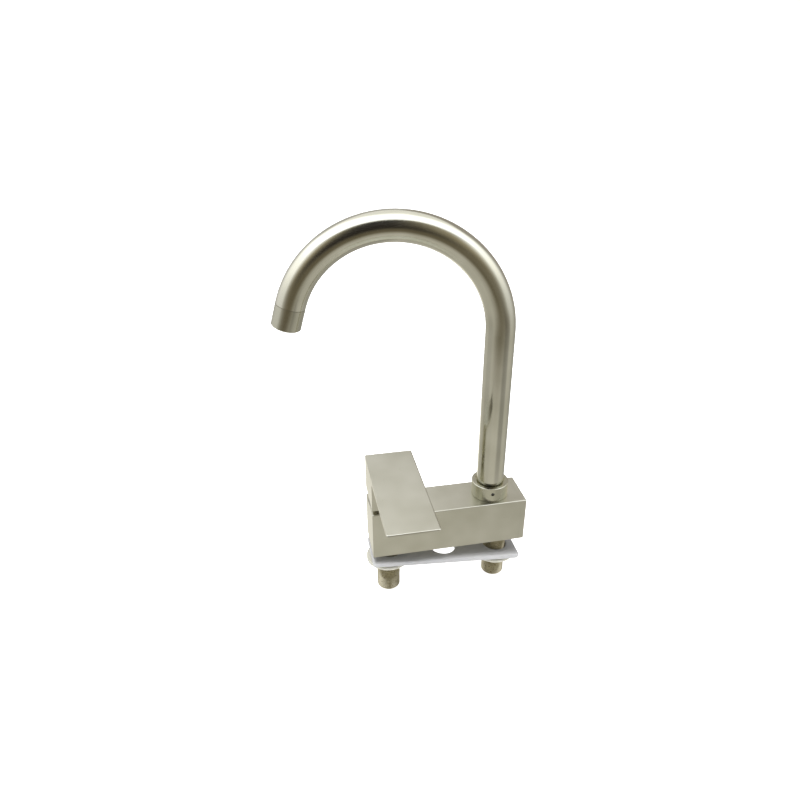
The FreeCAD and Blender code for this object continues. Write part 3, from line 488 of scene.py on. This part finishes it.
# Studio: a white sweep, a white tent overhead, and an unlit room in front of the faucet
def directions(tree):
    """Elevation and bearing of each direction of the studio, in degrees. Bearing 0 is behind the
    faucet as the photograph's camera sees it, and 90 is to its right."""
    seen = add_node(tree, "ShaderNodeTexCoord").outputs["Generated"]
    turned = add_node(tree, "ShaderNodeVectorRotate", {"Vector": seen, "Angle": CAMERA_YAW},
                      rotation_type="Z_AXIS").outputs["Vector"]
    parts = add_node(tree, "ShaderNodeSeparateXYZ", {"Vector": turned}).outputs
    rise = add_node(tree, "ShaderNodeMath", {0: parts["Z"]}, operation="ARCSINE").outputs["Value"]
    swing = add_node(tree, "ShaderNodeMath", {0: parts["X"], 1: parts["Y"]}, operation="ARCTAN2")
    elevation = add_node(tree, "ShaderNodeMath", {0: rise}, operation="DEGREES")
    bearing = add_node(tree, "ShaderNodeMath", {0: swing.outputs["Value"]}, operation="DEGREES")
    return elevation.outputs["Value"], bearing.outputs["Value"]


def mirrored_light(tree, elevation, bearing):
    """Brightness of each direction, read off what the photograph's faucet mirrors. The numbers are
    the degrees where each part of the studio begins and ends."""
    light = toward(tree, FLOOR_LIGHT, TENT_LIGHT, step(tree, elevation, -25.0, 55.0))
    wall = toward(tree, WALL_LOW_LIGHT, WALL_HIGH_LIGHT, step(tree, elevation, 32.0, 42.0))
    wall_shadow = times(tree, step(tree, bearing, 2.5, 8.0), step(tree, elevation, 48.0, 40.0))
    wall = toward(tree, wall, WALL_SHADOW_LIGHT, wall_shadow)
    wall = toward(tree, wall, TENT_LIGHT, step(tree, elevation, 68.0, 94.0))
    light = toward(tree, light, wall, around(tree, bearing, 10.0, 40.0, 80.0))
    left_sweep = times(tree, around(tree, bearing, -22.0, 9.0, 18.0),
                       around(tree, elevation, -39.0, 7.0, 14.0))
    light = toward(tree, light, LEFT_SWEEP_LIGHT, left_sweep)
    near_floor = times(tree, step(tree, apart(tree, bearing, 0.0), 145.0, 165.0),
                       step(tree, elevation, -22.0, -32.0))
    light = toward(tree, light, NEAR_FLOOR_LIGHT, near_floor)
    right_floor = times(tree, around(tree, bearing, 132.0, 10.0, 28.0), step(tree, elevation, -8.0, -20.0),
                        step(tree, elevation, -37.0, -31.0))
    light = toward(tree, light, RIGHT_FLOOR_LIGHT, right_floor)
    left_flag = times(tree, step(tree, bearing, -125.0, -105.0), step(tree, bearing, -58.0, -76.0),
                      step(tree, elevation, -12.0, -20.0), step(tree, elevation, -39.0, -28.0))
    return toward(tree, light, LEFT_FLAG_LIGHT, left_flag)


def studio_light():
    """The tent, the wall and the floor that the faucet mirrors and is lit by."""
    world = bpy.data.worlds.new("studio")
    bpy.context.scene.world = world
    tree = cleared_nodes(world)
    elevation, bearing = directions(tree)
    light = mirrored_light(tree, elevation, bearing)
    shade = tint(tree, step(tree, light, 0.0, WARM_BELOW), WARM_DIM, WHITE)
    shade = stain(tree, shade, CREAM_FLOOR, step(tree, elevation, 0.0, -25.0))
    shade = stain(tree, shade, COOL_TENT, step(tree, light, COOL_FROM, COOL_FULL))
    path = add_node(tree, "ShaderNodeLightPath").outputs
    matt = path["Is Diffuse Ray"]
    overhead = toward(tree, MATT_LOW_LIGHT, MATT_HIGH_LIGHT, step(tree, elevation, 40.0, 85.0))
    light = toward(tree, light, overhead, matt)
    shade = stain(tree, shade, WHITE, matt)
    # What one piece mirrors in another is dimmed, as the tent is patchy seen from close to the faucet.
    # Ray Depth is 2 for what a piece mirrors itself, and one more for each piece on the way
    seen_twice = toward(tree, TWICE_LOW_LIGHT, TWICE_HIGH_LIGHT, step(tree, elevation, 28.0, 45.0))
    light = toward(tree, light, seen_twice, step(tree, path["Ray Depth"], 2.2, 2.8))
    light = toward(tree, light, THRICE_LIGHT, step(tree, path["Ray Depth"], 3.2, 3.8))
    light = toward(tree, light, BACKDROP_LIGHT, path["Is Camera Ray"])
    background = add_node(tree, "ShaderNodeBackground", {"Color": shade, "Strength": light})
    add_node(tree, "ShaderNodeOutputWorld", {"Surface": background.outputs["Background"]})


def studio_floor():
    """A white sweep lit until it burns out, as the photograph's ground is. Metal doesn't mirror it:
    the studio's own floor brightness does that."""
    finish, tree, shader = new_finish("white_sweep")
    grain = speckle(tree, object_place(tree), 400.0 * MM, 2.0)
    tree.links.new(tint(tree, grain, "#F6F6F5", "#FBFBFA"), shader.inputs["Base Color"])
    shader.inputs["Roughness"].default_value = 0.9
    shader.inputs["Emission Color"].default_value = linear(WHITE)
    camera = add_node(tree, "ShaderNodeLightPath").outputs["Is Camera Ray"]
    glow = spread(tree, camera, SWEEP_GLOW_GIVEN, SWEEP_GLOW_SEEN)
    tree.links.new(glow, shader.inputs["Emission Strength"])
    form = bmesh.new()
    bmesh.ops.create_grid(form, x_segments=1, y_segments=1, size=SWEEP_HALF_WIDTH)
    bmesh.ops.translate(form, verts=form.verts[:], vec=(0, 0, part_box("shank_left")[0].z - SWEEP_GAP))
    floor = made_object(form, "floor", finish)
    floor.visible_glossy = False


def room_darkness(tree):
    """How dark the unlit room is at a point: its floor darkens with distance, and its wall is dark
    up to a soft edge above and at both sides. The numbers are metres."""
    place = add_node(tree, "ShaderNodeSeparateXYZ", {"Vector": object_place(tree)}).outputs
    deepest = toward(tree, FLOOR_DARKNESS, 1.0, step(tree, place["Z"], 0.0, 0.3))
    haze = toward(tree, 1.0, HAZE_DARKNESS, step(tree, place["X"], -0.05, 0.3))
    return times(tree, deepest, haze, around(tree, place["X"], 0.0, 0.2, 1.7),
                 step(tree, place["Y"], -0.13, -0.6), step(tree, place["Z"], 1.32, 1.0))


def dark_room():
    """The unlit room in front of the faucet, seen only in its metal: it makes the dark band along
    the spout. A veil dims the tent's light behind it, and the dusk between is brown."""
    finish = bpy.data.materials.new("unlit_room")
    tree = cleared_nodes(finish)
    dark = room_darkness(tree)
    dusk = add_node(tree, "ShaderNodeMapRange", {"Value": dark, "From Max": FLOOR_DARKNESS})
    night = add_node(tree, "ShaderNodeMapRange", {"Value": dark, "From Min": FLOOR_DARKNESS})
    veil = tint(tree, dusk.outputs["Result"], WHITE, DUSK_BROWN)
    veil = stain(tree, veil, BLACK, night.outputs["Result"])
    clear = add_node(tree, "ShaderNodeBsdfTransparent", {"Color": veil}).outputs["BSDF"]
    glow = spread(tree, dark, 0.0, ROOM_LIGHT)
    dim = add_node(tree, "ShaderNodeEmission", {"Color": linear(ROOM_GLOW), "Strength": glow})
    both = add_node(tree, "ShaderNodeAddShader", {0: clear, 1: dim.outputs["Emission"]}).outputs["Shader"]
    add_node(tree, "ShaderNodeOutputMaterial", {"Surface": both})
    form = bmesh.new()
    ends = [form.verts.new((x, -ROOM_START, 0)) for x in (-ROOM_HALF_WIDTH, ROOM_HALF_WIDTH)]
    line = [form.edges.new(ends)]
    for reach in ((0, ROOM_START - ROOM_DISTANCE, 0), (0, 0, ROOM_HEIGHT)):
        line, _ = grown_from(form, line, reach)
    room = made_object(form, "dark_room", finish)
    room.rotation_euler.z = -CAMERA_YAW
    room.visible_camera = False
    room.visible_diffuse = False
    room.visible_shadow = False


def key_light():
    """A soft square lamp that lights the plastic and the thread, and that metal doesn't mirror."""
    lamp = bpy.data.lights.new("key", "AREA")
    lamp.shape = "RECTANGLE"
    lamp.size = KEY_SIZE
    lamp.size_y = KEY_SIZE
    lamp.energy = KEY_POWER
    holder = bpy.data.objects.new("key", lamp)
    bpy.context.scene.collection.objects.link(holder)
    holder.location = KEY_PLACE
    holder.rotation_euler = (-KEY_PLACE).to_track_quat("-Z", "Y").to_euler()
    holder.visible_glossy = False


def photograph_camera():
    """The camera where the photograph was taken from."""
    ahead = Vector((math.sin(CAMERA_YAW), math.cos(CAMERA_YAW), 0))
    forward = ahead * math.cos(CAMERA_PITCH) - Vector((0, 0, math.sin(CAMERA_PITCH)))
    level = Vector((math.cos(CAMERA_YAW), -math.sin(CAMERA_YAW), 0))
    right = level * math.cos(CAMERA_ROLL) + level.cross(forward) * math.sin(CAMERA_ROLL)
    up = right.cross(forward)
    camera = bpy.data.objects.new("camera", bpy.data.cameras.new("camera"))
    camera.data.lens = CAMERA_LENS
    camera.data.sensor_width = CAMERA_SENSOR
    camera.data.clip_start = 0.01
    camera.data.clip_end = 50.0
    camera.matrix_world = Matrix((right, up, -forward)).transposed().to_4x4()
    camera.location = CAMERA_PLACE
    bpy.context.scene.collection.objects.link(camera)
    bpy.context.scene.camera = camera


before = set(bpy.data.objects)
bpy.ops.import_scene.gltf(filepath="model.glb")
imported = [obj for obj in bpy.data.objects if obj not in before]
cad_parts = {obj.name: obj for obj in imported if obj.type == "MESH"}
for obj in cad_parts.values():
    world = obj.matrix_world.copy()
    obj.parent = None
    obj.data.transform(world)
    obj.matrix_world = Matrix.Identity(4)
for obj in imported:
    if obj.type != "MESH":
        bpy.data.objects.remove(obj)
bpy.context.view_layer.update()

bar = brushed("brushed_nickel_bar", object_place, ALONG_BAR, roughness=0.30)
lever = brushed("brushed_nickel_lever", object_place, ALONG_LEVER, roughness=0.30)
gooseneck = brushed("brushed_nickel_tube", along_gooseneck, ALONG_TUBE, roughness=0.15)
turned_ring = brushed("turned_nickel_ring", object_place, TURNED_ROUND, roughness=0.24,
                      dark="#BFBDA9", light="#CAC8B6")
# The spout's end gets painted shade in the seam above it
turned_end = brushed("turned_nickel_end", object_place, TURNED_ROUND, roughness=0.17,
                     dark="#BCBAA9", light="#CAC8B8", painted_shade_of=seam_painted_shade)
thread = rolled_thread_finish()
plate_plastic = moulded("white_polypropylene", "#C6C6C7", "#D0D0D1", roughness=0.42,
                        grain=0.5 * MM, depth=0.008 * MM)
nut_plastic = moulded("natural_nylon", "#C6C4B7", "#D0CEC2", roughness=0.38,
                      grain=0.5 * MM, depth=0.008 * MM, through=0.25)
cartridge_plastic = moulded("filled_acetal", "#B9B9B4", "#C8C8C3", roughness=0.5,
                            grain=0.35 * MM, depth=0.01 * MM)
aerator_plastic = moulded("white_acetal", "#DADAD8", "#E6E6E4", roughness=0.4,
                          grain=0.3 * MM, depth=0.006 * MM)
brass = machined("turned_brass", "#B7995A", "#D8BC78", roughness=0.28)
steel = machined("turned_steel", "#8B8C8D", "#B4B5B6", roughness=0.30)
ceramic = fired_ceramic()
rubber = seal_rubber()

dress(["faucet_body", "end_cap"], bar)
dress(["handle"], lever)
dress(["spout_tube"], gooseneck)
dress(["spout_collar"], turned_ring)
dress(["aerator_housing"], turned_end)
dress(["shank_left", "shank_right"], thread)
dress(["base_plate"], plate_plastic)
dress(["mounting_nut_left", "mounting_nut_right"], nut_plastic)
dress(["cartridge_base", "cartridge_housing", "disc_carrier", "stem_guide"], cartridge_plastic)
dress(["spout_washer"], cartridge_plastic)
dress(["aerator_insert"], aerator_plastic)
dress(["gallery_plugs", "spout_nipple", "cartridge_nut", "cartridge_stem"], brass)
dress(["stem_pin", "handle_set_screw", "collar_set_screw", "aerator_screen"], steel)
dress(["fixed_disc", "moving_disc"], ceramic)
dress(["shank_seals", "port_seals", "disc_seals", "spout_o_rings", "aerator_gasket"], rubber)

for shank in ("shank_left", "shank_right"):
    finished_piece(threaded_shank(shank), "threaded_" + shank, thread, "fixed_body", shank)

studio_light()
studio_floor()
dark_room()
key_light()
photograph_camera()
view = bpy.context.scene.view_settings
view.view_transform = "Standard"
view.look = "None"
